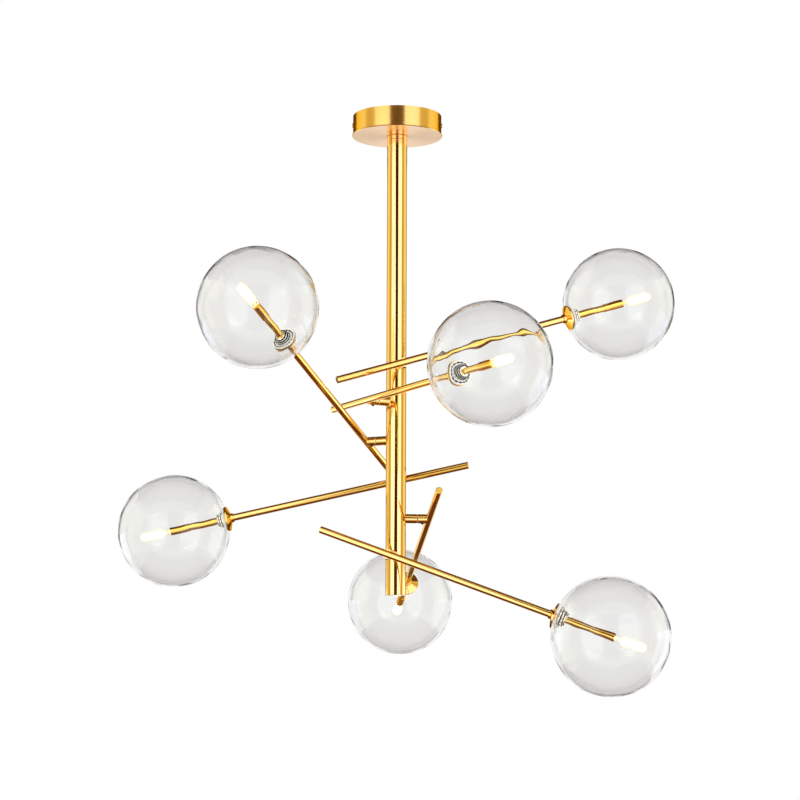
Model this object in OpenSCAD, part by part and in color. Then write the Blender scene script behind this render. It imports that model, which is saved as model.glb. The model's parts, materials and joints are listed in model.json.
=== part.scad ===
// Branch chandelier: one stem under a ceiling canopy carries six rods, each on a pivot of its own
// and each with a clear glass globe at one end.
// Millimetres. The origin is the middle of the ceiling plate's upper face, +Z is up, and the
// chandelier hangs below it. +X is to the right and +Y is away from whoever looks at its front.

/* [Canopy] */
// Outer diameter of the canopy's side wall
canopy_d = 126; // [115:1:150]
// Height of the canopy below the ceiling
canopy_h = 29; // [24:1:40]
// Thickness of the canopy's sheet
canopy_wall = 1.2; // [0.8:0.1:2]
// How far the canopy's lower lip stands out from the side wall
lip_out = 1.4; // [0.8:0.1:3]
// Height of the canopy's lower lip
lip_h = 1.6; // [1:0.1:3]
// Drop of the canopy's side screws below the ceiling
side_screw_drop = 13; // [9:0.5:18]
// Shank diameter of the side screws
side_screw_d = 4; // [3:0.5:5]
// Head diameter of the side screws
side_head_d = 7; // [6:0.5:9]
// Head height of the side screws
side_head_h = 1.4; // [1:0.1:2.5]

/* [Ceiling bracket] */
// Width of the bracket's strip
strip_w = 24; // [20:1:30]
// Thickness of the bracket's strip
strip_t = 2; // [1.5:0.1:3]
// Width of the bracket's ears
ear_w = 20; // [14:1:24]
// Length of the bracket's ears below its strip
ear_len = 17; // [15:0.5:18]
// Distance between the centres of the two screw slots
slot_pitch = 70; // [50:1:80]
// Width of a screw slot
slot_w = 5; // [4:0.5:6]
// Length of a screw slot from end to end
slot_len = 14; // [8:1:20]
// Diameter of the supply cable's hole in the bracket
cable_hole_d = 14; // [10:1:18]

/* [Terminal block] */
// Length of the terminal block
block_len = 30; // [24:1:36]
// Width of the terminal block
block_w = 17; // [14:1:20]
// Height of the terminal block
block_h = 13; // [10:1:15]
// Distance of the terminal block's middle from the stem's axis
block_off = 31; // [26:1:36]
// Diameter of a terminal's screw well
well_d = 5; // [4:0.5:6]
// Depth of a terminal's screw well
well_deep = 5; // [3:0.5:6]
// Diameter of a terminal's wire hole
wire_hole_d = 3.5; // [3:0.5:4]

/* [Stem] */
// Outer diameter of the stem
stem_d = 28.6; // [26:0.1:34]
// Wall of the stem's tube
stem_wall = 1.5; // [1:0.1:2.5]
// Length of the stem below the canopy, with its collar and its end cap
stem_len = 653; // [560:1:900]
// Height of the collar at the stem's top
collar_h = 6.5; // [4:0.5:12]
// Chamfer round the collar
collar_chamfer = 0.8; // [0.3:0.1:1.5]
// Length of the spigot that the collar has inside the tube
spigot_len = 14; // [8:1:20]
// Thickness of the end cap's visible disc
cap_t = 1.6; // [1:0.1:4]
// Length of the end cap's plug inside the tube
cap_plug = 8; // [5:1:15]
// Wall of the end cap's plug
cap_plug_wall = 2; // [1.5:0.5:4]

/* [Stem fixing] */
// Outer diameter of the hollow threaded nipple
nipple_d = 10; // [8:1:12]
// Bore of the nipple, for the wires
nipple_bore = 7; // [5:0.5:8]
// Length of the nipple above the canopy's floor
nipple_up = 9; // [8:0.5:12]
// Width of the nut across its flats
nut_flats = 17; // [15:1:20]
// Height of the nut's hexagon
nut_h = 5; // [4:0.5:6]
// Diameter of the nut's flange
nut_flange_d = 21; // [20:1:26]
// Thickness of the nut's flange
nut_flange_t = 1.5; // [1:0.1:2.5]

/* [Arms] */
// Distance of a rod's centre line from the stem's axis
arm_reach = 47; // [42:1:60]
// Distance from an arm's pivot to the middle of its globe
arm_out = 330; // [300:1:340]
// Distance from an arm's pivot to its tail end
arm_back = 101; // [60:1:104]
// Outer diameter of the rods
rod_d = 10; // [9:0.5:12]
// Wall of the rods' tube
rod_wall = 1; // [0.6:0.1:1.5]
// Thickness of the plug in a rod's tail end
tail_plug = 2; // [1:0.5:5]
// Chamfer round a rod's tail end
tail_chamfer = 0.4; // [0.2:0.1:0.8]

/* [Arm 1, the top one] */
// Height of the pivot above the stem's lower end
height_1 = 321; // [316:0.5:330]
// Direction that the pivot faces, turned from +X towards +Y
facing_1_deg = -75.4; // [-80:0.1:-70]
// Tilt of the globe's end above level
tilt_1_deg = 17; // [-30:0.1:20]

/* [Arm 2] */
// Height of the pivot above the stem's lower end
height_2 = 270.5; // [266:0.5:274]
// Direction that the pivot faces, turned from +X towards +Y
facing_2_deg = -151.1; // [-155:0.1:-147]
// Tilt of the globe's end above level
tilt_2_deg = 1.3; // [-45:0.1:14]

/* [Arm 3] */
// Height of the pivot above the stem's lower end
height_3 = 217; // [212:0.5:220]
// Direction that the pivot faces, turned from +X towards +Y
facing_3_deg = 152.1; // [148:0.1:156]
// Tilt of the globe's end above level
tilt_3_deg = 26; // [-20:0.1:28]

/* [Arm 4] */
// Height of the pivot above the stem's lower end
height_4 = 164.5; // [160:0.5:168]
// Direction that the pivot faces, turned from +X towards +Y
facing_4_deg = 84.6; // [80:0.1:89]
// Tilt of the globe's end above level
tilt_4_deg = -12.3; // [-60:0.1:15]

/* [Arm 5] */
// Height of the pivot above the stem's lower end
height_5 = 107; // [103:0.5:111]
// Direction that the pivot faces, turned from +X towards +Y
facing_5_deg = 7.2; // [3:0.1:11]
// Tilt of the globe's end above level
tilt_5_deg = -18.1; // [-60:0.1:10]

/* [Arm 6, the lowest one] */
// Height of the pivot above the stem's lower end
height_6 = 55; // [50:0.5:59]
// Direction that the pivot faces, turned from +X towards +Y
facing_6_deg = -105.9; // [-110:0.1:-101]
// Tilt of the globe's end above level
tilt_6_deg = -20.1; // [-60:0.1:8]

/* [Pivots] */
// Outer diameter of the boss and of the swivel
stub_d = 13; // [12:0.5:16]
// Length of the boss from the stem's surface to the pivot's joint
boss_len = 15.2; // [13:0.1:17]
// Chamfer where the boss and the swivel meet
stub_chamfer = 0.5; // [0.2:0.1:1]
// Thickness of the friction washer in the joint
washer_t = 0.6; // [0.4:0.1:1]
// Outer diameter of the friction washer
washer_d = 12.2; // [11:0.1:12.4]
// Outer diameter of the hollow pivot pin
pin_d = 8; // [7:0.1:8.5]
// Bore of the pivot pin, for the wires
pin_bore = 5; // [4:0.1:5.5]
// Wall left between the pivot pin's end and the rod
pin_stop = 1.5; // [1:0.1:3]
// Width of the groove that the set screw runs in
groove_w = 4.2; // [4:0.1:5]
// Depth of the groove
groove_deep = 0.8; // [0.4:0.1:1]
// Length of the pin's end past the groove
groove_rim = 1.3; // [0.8:0.1:2]
// Diameter of the set screw's hole in the swivel
set_screw_d = 4; // [3:0.5:4]

/* [Globes] */
// Outer diameter of a globe
globe_d = 160; // [145:1:165]
// Wall of a globe
globe_wall = 3; // [2:0.1:4]
// Diameter of the hole in a globe, inside its rolled rim
globe_hole_d = 24; // [22:0.5:28]

/* [Globe fittings] */
// Outer diameter of the dished cup
cup_d = 35; // [34:0.5:42]
// Height of the cup's straight rim
cup_rim_h = 2.2; // [2:0.1:3]
// Height of the cup's cone from its rim to its hub
cup_rise = 4.2; // [3:0.1:8]
// Thickness of the cup's sheet
cup_wall = 1; // [0.8:0.1:1.5]
// Outer diameter of the cup's hub
hub_d = 13; // [12.5:0.5:16]
// Height of the hub above the cone
hub_h = 3; // [1:0.5:6]
// Outer diameter of the outer seal
outer_seal_d = 29; // [28:0.5:30]
// Thickness of the outer seal
outer_seal_t = 1; // [0.6:0.1:1.5]
// Outer diameter of the inner seal
inner_seal_d = 33; // [31:0.5:36]
// Thickness of the inner seal
inner_seal_t = 2; // [1:0.1:3]
// Diameter of the ring nut's flange
ring_flange_d = 23; // [21:0.5:24]
// Thickness of the ring nut's flange
ring_flange_t = 2; // [1.5:0.1:3]
// Diameter of the ring nut's neck
ring_neck_d = 17; // [15:0.5:19]
// Length of the ring nut's neck
ring_neck_len = 2; // [1:0.1:4]
// Diameter of the ring nut's knurled head
ring_head_d = 21; // [20:0.5:22]
// Length of the ring nut's knurled head
ring_head_len = 6; // [4:0.5:9]
// Chamfer round the ring nut's head
ring_chamfer = 0.7; // [0.3:0.1:1.2]

/* [Lamps] */
// Outer diameter of the lamp holder's sleeve
sleeve_d = 11.2; // [11:0.1:13]
// Length of the lamp holder
sleeve_len = 28; // [24:1:34]
// How far the lamp holder reaches past the globe's middle
sleeve_past = 5; // [0:0.5:10]
// Length of the rod inside the lamp holder
rod_seat = 13; // [8:0.5:15]
// Diameter of the lamp's glowing body
bulb_d = 14; // [11:0.5:16]
// Length of the lamp from its pinch to its tip
bulb_len = 35; // [28:1:45]
// Width of the lamp's flat pinch
pinch_w = 10.5; // [8:0.5:11]
// Thickness of the lamp's flat pinch
pinch_t = 4.5; // [3:0.5:6]
// Length of the lamp's flat pinch
pinch_len = 10; // [7:0.5:14]
// Diameter of a lamp pin
lamp_pin_d = 1; // [0.7:0.1:1.2]
// Length of a lamp pin inside the holder
lamp_pin_len = 7; // [5:0.5:9]
// Distance between the two lamp pins
lamp_pin_pitch = 4; // [3.5:0.5:5]

/* [Hidden] */
$fn = 72;

// Clearances and the overrun of every cut
cut_over = 1;
screw_gap = 0.05;
hole_gap = 0.3;
braze_gap = 0.03;
run_gap = 0.05;
washer_play = 0.1;
seat_gap = 0.05;
ear_gap = 0.4;

// The six arms, top to bottom
heights = [height_1, height_2, height_3, height_4, height_5, height_6];
facing_degs = [facing_1_deg, facing_2_deg, facing_3_deg, facing_4_deg, facing_5_deg, facing_6_deg];
tilt_degs = [tilt_1_deg, tilt_2_deg, tilt_3_deg, tilt_4_deg, tilt_5_deg, tilt_6_deg];
arms = [1, 2, 3, 4, 5, 6];
stem_bottom = -canopy_h - stem_len;
function pivot_z(i) = stem_bottom + heights[i - 1];

// Canopy and bracket
canopy_r = canopy_d / 2;
canopy_in_r = canopy_r - canopy_wall;
canopy_floor = -canopy_h + canopy_wall;
corner_r = canopy_wall * 0.6;
ear_face = sqrt(pow(canopy_in_r, 2) - pow(ear_w / 2, 2)) - ear_gap;
side_head_x = canopy_r + seat_gap;
side_screw_in = ear_face - strip_t * 2;
well_count = 3;
well_pitch = block_len / well_count;
block_corner = block_w / 8;

// Stem
stem_r = stem_d / 2;
stem_in_r = stem_r - stem_wall;
tube_top = -canopy_h - collar_h;
tube_bottom = stem_bottom + cap_t;
nipple_r = nipple_d / 2;
nipple_top = canopy_floor + nipple_up;
hex_corner_share = 1 / sqrt(3);
nipple_bottom = tube_top - spigot_len;

// Rods and pivots, measured out from the stem's axis
rod_r = rod_d / 2;
rod_in_r = rod_r - rod_wall;
stub_r = stub_d / 2;
joint_at = stem_r + boss_len;
swivel_at = joint_at + washer_t + washer_play * 2;
saddle_share = 0.7;
swivel_end = arm_reach - rod_r * saddle_share;
pin_r = pin_d / 2;
pin_start = stem_in_r - washer_t;
pin_end = arm_reach - rod_r - pin_stop;
groove_end = pin_end - groove_rim;
groove_start = groove_end - groove_w;
set_screw_at = (groove_start + groove_end) / 2;
wire_hole_r = pin_bore / 2;

// Globes and what clamps them, measured from the globe's middle back towards the pivot
globe_r = globe_d / 2;
globe_in_r = globe_r - globe_wall;
rim_bead_r = globe_wall * 0.55;
rim_r = globe_hole_d / 2 + rim_bead_r;
rim_angle = asin(rim_r / (globe_r - globe_wall / 2));
rim_mid_r = globe_r - globe_wall / 2;
fit_r = rod_r + seat_gap;
bead_gap = rim_bead_r - globe_wall / 2 + seat_gap;
outer_seal_in = globe_r + bead_gap;
outer_seal_out = outer_seal_in + outer_seal_t;
inner_seal_out = globe_in_r - bead_gap;
inner_seal_in = inner_seal_out - inner_seal_t;
seal_spigot_r = globe_hole_d / 2 - seat_gap;
hub_seat = outer_seal_out + seat_gap;
cup_r = cup_d / 2;
cup_rim_low = sqrt(pow(globe_r, 2) - pow(cup_r, 2)) + seat_gap * 4;
cup_rim_high = cup_rim_low + cup_rim_h;
cup_top = cup_rim_high + cup_rise;
hub_r = hub_d / 2;
hub_top = cup_top + hub_h;
ring_seat = inner_seal_in - seat_gap;
ring_flange_end = sqrt(pow(ring_seat, 2) - pow(ring_flange_d / 2, 2)) - ring_flange_t;
ring_neck_end = ring_flange_end - ring_neck_len;
ring_head_end = ring_neck_end - ring_head_len;
sleeve_r = sleeve_d / 2;
sleeve_start = sleeve_len - sleeve_past;
rod_tip = sleeve_start - rod_seat;
insert_start = rod_tip - seat_gap;
bulb_r = bulb_d / 2;
bulb_seat = -sleeve_past - seat_gap;
pinch_end = bulb_seat - pinch_len;
pinch_overlap = bulb_r * 0.4;
bulb_tip = pinch_end - bulb_len;

brass = [0.85, 0.63, 0.27];
chrome_grey = [0.78, 0.79, 0.8];
clear_glass = [0.85, 0.9, 0.92, 0.35];

// A disc or a ring cut to the half that a turned piece is spun from
module half_disc(r) {
    intersection() {
        circle(r);
        translate([0, -r]) square([r, r * 2]);
    }
}

// A band of a ball's shell between two distances from its axis, on the pivot's side
module shell_band(r_in, r_out, from_axis, to_axis) {
    intersection() {
        difference() {
            circle(r_out);
            circle(r_in);
        }
        translate([from_axis, 0]) square([to_axis - from_axis, r_out]);
    }
}

// A turned stub along +X, from a start to an end, with a chamfer at one of them
module stub_along_x(from, to, chamfer_at_start) {
    long = to - from;
    translate([chamfer_at_start ? from : to, 0, 0])
        rotate([0, chamfer_at_start ? 90 : -90, 0])
            rotate_extrude()
                polygon([
                    [0, 0],
                    [stub_r - stub_chamfer, 0],
                    [stub_r, stub_chamfer],
                    [stub_r, long],
                    [0, long]
                ]);
}

module tube_along_x(r, from, to) {
    translate([from, 0, 0]) rotate([0, 90, 0]) cylinder(r = r, h = to - from);
}

// Puts pieces at a pivot: +X runs out from the stem
module at_pivot(i) {
    translate([0, 0, pivot_z(i)]) rotate([0, 0, facing_degs[i - 1]]) children();
}

// Puts pieces on an arm: +Z runs along the rod to the globe, +X out from the stem, +Y down
module on_arm(i) {
    at_pivot(i) translate([arm_reach, 0, 0]) rotate([tilt_degs[i - 1] - 90, 0, 0]) children();
}

// Puts pieces at a globe's middle: +Z runs back along the rod to the pivot
module at_globe(i) {
    on_arm(i) translate([0, 0, arm_out]) rotate([180, 0, 0]) children();
}

module ceiling_bracket() {
    color([0.72, 0.73, 0.75])
        difference() {
            union() {
                translate([-ear_face, -strip_w / 2, -strip_t]) cube([ear_face * 2, strip_w, strip_t]);
                for (side = [-1, 1])
                    translate([side > 0 ? ear_face - strip_t : -ear_face, -ear_w / 2, -strip_t - ear_len])
                        cube([strip_t, ear_w, ear_len + strip_t / 2]);
            }
            for (side = [-1, 1])
                translate([side * slot_pitch / 2, 0, -strip_t - cut_over])
                    linear_extrude(strip_t + cut_over * 2)
                        slot_outline();
            translate([0, 0, -strip_t - cut_over]) cylinder(d = cable_hole_d, h = strip_t + cut_over * 2);
            translate([-canopy_r, 0, -side_screw_drop])
                rotate([0, 90, 0])
                    cylinder(d = side_screw_d + screw_gap * 2, h = canopy_d);
        }
}

module slot_outline() {
    end_x = (slot_len - slot_w) / 2;
    square([end_x * 2, slot_w], center = true);
    for (side = [-1, 1])
        translate([side * end_x, 0]) circle(d = slot_w);
}

module canopy() {
    color(brass)
        difference() {
            rotate_extrude() canopy_profile();
            translate([-canopy_d, 0, -side_screw_drop])
                rotate([0, 90, 0])
                    cylinder(d = side_screw_d + hole_gap * 2, h = canopy_d * 2);
        }
}

// Half section of the drawn canopy: floor, side wall and the small lip round its lower edge
module canopy_profile() {
    floor_in = nipple_r + hole_gap;
    lip_r = canopy_r + lip_out;
    polygon([
        [floor_in, -canopy_h],
        [lip_r - corner_r, -canopy_h],
        [lip_r, -canopy_h + corner_r],
        [lip_r, -canopy_h + lip_h - corner_r / 2],
        [lip_r - corner_r / 2, -canopy_h + lip_h],
        [canopy_r, -canopy_h + lip_h],
        [canopy_r, 0],
        [canopy_in_r, 0],
        [canopy_in_r, canopy_floor],
        [floor_in, canopy_floor]
    ]);
}

module canopy_screws() {
    color(brass)
        for (turn = [0, 180])
            rotate([0, 0, turn])
                translate([0, 0, -side_screw_drop])
                    rotate([0, 90, 0])
                        rotate_extrude()
                            polygon([
                                [0, side_screw_in],
                                [side_screw_d / 2, side_screw_in],
                                [side_screw_d / 2, side_head_x],
                                [side_head_d / 2, side_head_x],
                                [side_head_d / 2, side_head_x + side_head_h / 2],
                                [side_head_d / 3, side_head_x + side_head_h],
                                [0, side_head_x + side_head_h]
                            ]);
}

module terminal_block() {
    color([0.92, 0.91, 0.88])
        translate([0, block_off, canopy_floor])
            difference() {
                rotate([90, 0, 90])
                    translate([0, 0, -block_len / 2])
                        linear_extrude(block_len)
                            block_outline();
                for (k = [0:well_count - 1])
                    translate([(k + 0.5) * well_pitch - block_len / 2, 0, 0]) {
                        translate([0, 0, block_h - well_deep]) cylinder(d = well_d, h = well_deep + cut_over);
                        translate([0, block_w, block_h / 3])
                            rotate([90, 0, 0])
                                cylinder(d = wire_hole_d, h = block_w * 2);
                    }
            }
}

// The block's end view, stepped in above its foot
module block_outline() {
    polygon([
        [-block_w / 2, 0],
        [block_w / 2, 0],
        [block_w / 2, block_h * 0.6],
        [block_w / 2 - block_corner, block_h],
        [-block_w / 2 + block_corner, block_h],
        [-block_w / 2, block_h * 0.6]
    ]);
}

module stem_nipple() {
    color(chrome_grey)
        translate([0, 0, nipple_bottom])
            difference() {
                cylinder(r = nipple_r, h = nipple_top - nipple_bottom);
                translate([0, 0, -cut_over])
                    cylinder(d = nipple_bore, h = nipple_top - nipple_bottom + cut_over * 2);
            }
}

module nipple_nut() {
    color(chrome_grey)
        translate([0, 0, canopy_floor])
            difference() {
                union() {
                    cylinder(d = nut_flange_d, h = nut_flange_t);
                    cylinder(r = nut_flats * hex_corner_share, h = nut_flange_t + nut_h, $fn = 6);
                }
                translate([0, 0, -cut_over])
                    cylinder(r = nipple_r + screw_gap, h = nut_flange_t + nut_h + cut_over * 2);
            }
}

// The collar at the stem's top, with the spigot that the tube is pressed on
module stem_collar() {
    spigot_r = stem_in_r - braze_gap;
    thread_r = nipple_r + screw_gap;
    color(brass)
        rotate_extrude()
            polygon([
                [thread_r, -canopy_h],
                [stem_r - collar_chamfer, -canopy_h],
                [stem_r, -canopy_h - collar_chamfer],
                [stem_r, tube_top + collar_chamfer],
                [stem_r - collar_chamfer, tube_top],
                [spigot_r, tube_top],
                [spigot_r, nipple_bottom],
                [thread_r, nipple_bottom]
            ]);
}

module stem() {
    color(brass)
        difference() {
            translate([0, 0, tube_bottom]) cylinder(r = stem_r, h = tube_top - tube_bottom);
            translate([0, 0, tube_bottom - cut_over])
                cylinder(r = stem_in_r, h = tube_top - tube_bottom + cut_over * 2);
            for (i = arms)
                at_pivot(i) tube_along_x(pin_r + hole_gap, 0, stem_d);
        }
}

module stem_end_cap() {
    plug_r = stem_in_r - braze_gap;
    color(brass)
        rotate_extrude()
            polygon([
                [0, stem_bottom],
                [stem_r - stub_chamfer, stem_bottom],
                [stem_r, stem_bottom + stub_chamfer],
                [stem_r, tube_bottom],
                [plug_r, tube_bottom],
                [plug_r, tube_bottom + cap_plug],
                [plug_r - cap_plug_wall, tube_bottom + cap_plug],
                [plug_r - cap_plug_wall, tube_bottom],
                [0, tube_bottom]
            ]);
}

// The turned bosses, each mitred to the stem that it is brazed on
module pivot_bosses() {
    color(brass)
        for (i = arms)
            at_pivot(i)
                difference() {
                    stub_along_x(stem_in_r, joint_at, false);
                    tube_along_x(pin_r + screw_gap, 0, joint_at + cut_over);
                    cylinder(r = stem_r + braze_gap, h = stub_d * 2, center = true);
                }
}

// The hollow pins, screwed into the bosses and grooved for the swivels' set screws
module pivot_pins() {
    color(chrome_grey)
        for (i = arms)
            at_pivot(i)
                difference() {
                    tube_along_x(pin_r, pin_start, pin_end);
                    tube_along_x(wire_hole_r, pin_start - cut_over, pin_end + cut_over);
                    difference() {
                        tube_along_x(stub_r, groove_start, groove_end);
                        tube_along_x(pin_r - groove_deep, 0, arm_reach);
                    }
                }
}

module pivot_washers() {
    color([0.9, 0.89, 0.85])
        for (i = arms)
            at_pivot(i)
                difference() {
                    tube_along_x(washer_d / 2, joint_at + washer_play, swivel_at - washer_play);
                    tube_along_x(pin_r + screw_gap, 0, arm_reach);
                }
}

// The swivel turns on the pin and is mitred to the rod that it is brazed to
module swivel(i) {
    color(brass)
        on_arm(i)
            difference() {
                stub_along_x(swivel_at - arm_reach, swivel_end - arm_reach, true);
                tube_along_x(pin_r + run_gap, -arm_reach, pin_end + seat_gap - arm_reach);
                tube_along_x(wire_hole_r, -arm_reach, 0);
                cylinder(r = rod_r + braze_gap, h = stub_d * 2, center = true);
                translate([set_screw_at - arm_reach, 0, 0])
                    rotate([-90, 0, 0])
                        cylinder(d = set_screw_d, h = stub_d);
            }
}

module rod(i) {
    color(brass)
        on_arm(i)
            difference() {
                rotate_extrude()
                    polygon([
                        [0, -arm_back],
                        [rod_r - tail_chamfer, -arm_back],
                        [rod_r, -arm_back + tail_chamfer],
                        [rod_r, arm_out - rod_tip],
                        [rod_in_r, arm_out - rod_tip],
                        [rod_in_r, -arm_back + tail_plug],
                        [0, -arm_back + tail_plug]
                    ]);
                tube_along_x(wire_hole_r, -stub_d, 0);
            }
}

// The dished cup: a shallow cone over the globe's hole, with a hub threaded on the rod
module cup(i) {
    color(brass)
        at_globe(i)
            rotate_extrude()
                polygon([
                    [cup_r, cup_rim_low],
                    [cup_r, cup_rim_high],
                    [hub_r, cup_top],
                    [hub_r, hub_top],
                    [fit_r, hub_top],
                    [fit_r, hub_seat],
                    [hub_r, hub_seat],
                    [hub_r, cup_top - cup_wall * 1.2],
                    [cup_r - cup_wall, cup_rim_high - cup_wall * 0.4],
                    [cup_r - cup_wall, cup_rim_low]
                ]);
}

// The two clear seals: the outer one lines the hole and lies under the cup, the inner one lies
// against the globe's inner wall
module seals(i) {
    color([0.9, 0.93, 0.93, 0.5])
        at_globe(i) {
            rotate_extrude() {
                shell_band(outer_seal_in, outer_seal_out, fit_r, outer_seal_d / 2);
                shell_band(inner_seal_out + seat_gap, outer_seal_out, fit_r, seal_spigot_r);
            }
            rotate_extrude()
                shell_band(inner_seal_in, inner_seal_out, fit_r, inner_seal_d / 2);
        }
}

module ring_nut(i) {
    head_r = ring_head_d / 2;
    color(chrome_grey)
        at_globe(i)
            rotate_extrude()
                intersection() {
                    polygon([
                        [fit_r, globe_r],
                        [ring_flange_d / 2, globe_r],
                        [ring_flange_d / 2, ring_flange_end],
                        [ring_neck_d / 2, ring_flange_end],
                        [ring_neck_d / 2, ring_neck_end],
                        [head_r - ring_chamfer, ring_neck_end],
                        [head_r, ring_neck_end - ring_chamfer],
                        [head_r, ring_head_end + ring_chamfer],
                        [head_r - ring_chamfer, ring_head_end],
                        [fit_r, ring_head_end]
                    ]);
                    circle(ring_seat);
                }
}

// The blown globe with the rolled rim round its hole
module globe(i) {
    wedge = globe_r * 2;
    color(clear_glass)
        at_globe(i)
            rotate_extrude() {
                difference() {
                    half_disc(globe_r);
                    circle(globe_in_r);
                    polygon([
                        [-globe_r, 0],
                        [0, 0],
                        [wedge * sin(rim_angle), wedge * cos(rim_angle)],
                        [-globe_r, wedge]
                    ]);
                }
                translate([rim_mid_r * sin(rim_angle), rim_mid_r * cos(rim_angle)]) circle(rim_bead_r);
            }
}

// The lamp holder: a sleeve over the rod's end, with a solid insert that takes the lamp's pins
module holder(i) {
    color(brass)
        at_globe(i)
            difference() {
                rotate_extrude()
                    polygon([
                        [rod_in_r, insert_start],
                        [fit_r, insert_start],
                        [fit_r, sleeve_start],
                        [sleeve_r, sleeve_start],
                        [sleeve_r, -sleeve_past],
                        [0, -sleeve_past],
                        [0, bulb_seat + lamp_pin_len + lamp_pin_d],
                        [rod_in_r, bulb_seat + lamp_pin_len + lamp_pin_d]
                    ]);
                for (side = [-1, 1])
                    translate([side * lamp_pin_pitch / 2, 0, -sleeve_past - cut_over])
                        cylinder(d = lamp_pin_d + screw_gap * 4, h = lamp_pin_len + lamp_pin_d * 4);
            }
}

// The capsule lamp: two pins, a flat pinch and a round body with a domed tip
module bulb(i) {
    dome_low = bulb_tip + bulb_r;
    color([1, 0.96, 0.85, 0.6])
        at_globe(i)
            union() {
                for (side = [-1, 1])
                    translate([side * lamp_pin_pitch / 2, 0, pinch_end])
                        cylinder(d = lamp_pin_d, h = bulb_seat - pinch_end + lamp_pin_len);
                translate([-pinch_w / 2, -pinch_t / 2, pinch_end - pinch_overlap])
                    cube([pinch_w, pinch_t, bulb_seat - pinch_end + pinch_overlap]);
                translate([0, 0, dome_low]) sphere(bulb_r);
                translate([0, 0, dome_low]) cylinder(r = bulb_r, h = pinch_end - dome_low);
            }
}

ceiling_bracket();
canopy();
canopy_screws();
terminal_block();
stem_nipple();
nipple_nut();
stem_collar();
stem();
stem_end_cap();
pivot_bosses();
pivot_pins();
pivot_washers();
swivel(1);  // swivel_1
rod(1);  // rod_1
cup(1);  // cup_1
seals(1);  // seals_1
ring_nut(1);  // ring_nut_1
globe(1);  // globe_1
holder(1);  // holder_1
bulb(1);  // bulb_1
swivel(2);  // swivel_2
rod(2);  // rod_2
cup(2);  // cup_2
seals(2);  // seals_2
ring_nut(2);  // ring_nut_2
globe(2);  // globe_2
holder(2);  // holder_2
bulb(2);  // bulb_2
swivel(3);  // swivel_3
rod(3);  // rod_3
cup(3);  // cup_3
seals(3);  // seals_3
ring_nut(3);  // ring_nut_3
globe(3);  // globe_3
holder(3);  // holder_3
bulb(3);  // bulb_3
swivel(4);  // swivel_4
rod(4);  // rod_4
cup(4);  // cup_4
seals(4);  // seals_4
ring_nut(4);  // ring_nut_4
globe(4);  // globe_4
holder(4);  // holder_4
bulb(4);  // bulb_4
swivel(5);  // swivel_5
rod(5);  // rod_5
cup(5);  // cup_5
seals(5);  // seals_5
ring_nut(5);  // ring_nut_5
globe(5);  // globe_5
holder(5);  // holder_5
bulb(5);  // bulb_5
swivel(6);  // swivel_6
rod(6);  // rod_6
cup(6);  // cup_6
seals(6);  // seals_6
ring_nut(6);  // ring_nut_6
globe(6);  // globe_6
holder(6);  // holder_6
bulb(6);  // bulb_6
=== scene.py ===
# Branch chandelier: finishes, small parts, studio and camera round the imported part.
import json
import math
import bmesh
import bpy
from mathutils import Matrix, Vector, noise


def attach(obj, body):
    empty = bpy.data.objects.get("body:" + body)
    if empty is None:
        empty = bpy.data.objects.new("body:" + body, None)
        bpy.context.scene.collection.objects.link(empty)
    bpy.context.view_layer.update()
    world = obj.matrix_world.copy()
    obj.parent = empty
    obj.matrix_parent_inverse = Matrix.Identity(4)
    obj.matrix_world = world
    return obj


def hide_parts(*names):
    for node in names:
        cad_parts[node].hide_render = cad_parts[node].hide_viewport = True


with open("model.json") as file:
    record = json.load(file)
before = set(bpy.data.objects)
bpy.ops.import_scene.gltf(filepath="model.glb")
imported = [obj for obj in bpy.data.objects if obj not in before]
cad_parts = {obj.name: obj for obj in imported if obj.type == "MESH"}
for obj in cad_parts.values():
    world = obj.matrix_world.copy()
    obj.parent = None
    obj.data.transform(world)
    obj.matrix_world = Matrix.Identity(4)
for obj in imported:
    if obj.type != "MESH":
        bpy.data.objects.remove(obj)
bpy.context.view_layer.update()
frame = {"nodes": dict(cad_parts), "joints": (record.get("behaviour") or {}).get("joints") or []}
nodes = frame["nodes"]
joints = frame["joints"]
scene = bpy.context.scene
upright = Matrix.Identity(4)
print("frame loaded:", len(nodes), "pieces,", len(joints), "pivots")

# Sizes shared by the arms, as in the part. All lengths here are in metres
arms = {
    "tilts": [17, 1.3, 26, -12.3, -18.1, -20.1],  # degrees of the globe end above level, top arm first
    "pivotToGlobe": 0.330,
}


# Node trees: one class for a socket, one for the tree that it sits in
class Socket:
    def __init__(self, sketch, socket):
        self.sketch = sketch
        self.socket = socket

    def other(self, name):
        return Socket(self.sketch, self.socket.node.outputs[name])

    def __add__(self, other):
        return self.sketch.math("ADD", self, other)

    def __radd__(self, other):
        return self.sketch.math("ADD", other, self)

    def __sub__(self, other):
        return self.sketch.math("SUBTRACT", self, other)

    def __rsub__(self, other):
        return self.sketch.math("SUBTRACT", other, self)

    def __mul__(self, other):
        return self.sketch.math("MULTIPLY", self, other)

    def __rmul__(self, other):
        return self.sketch.math("MULTIPLY", other, self)

    def __pow__(self, other):
        return self.sketch.math("POWER", self, other)


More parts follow.
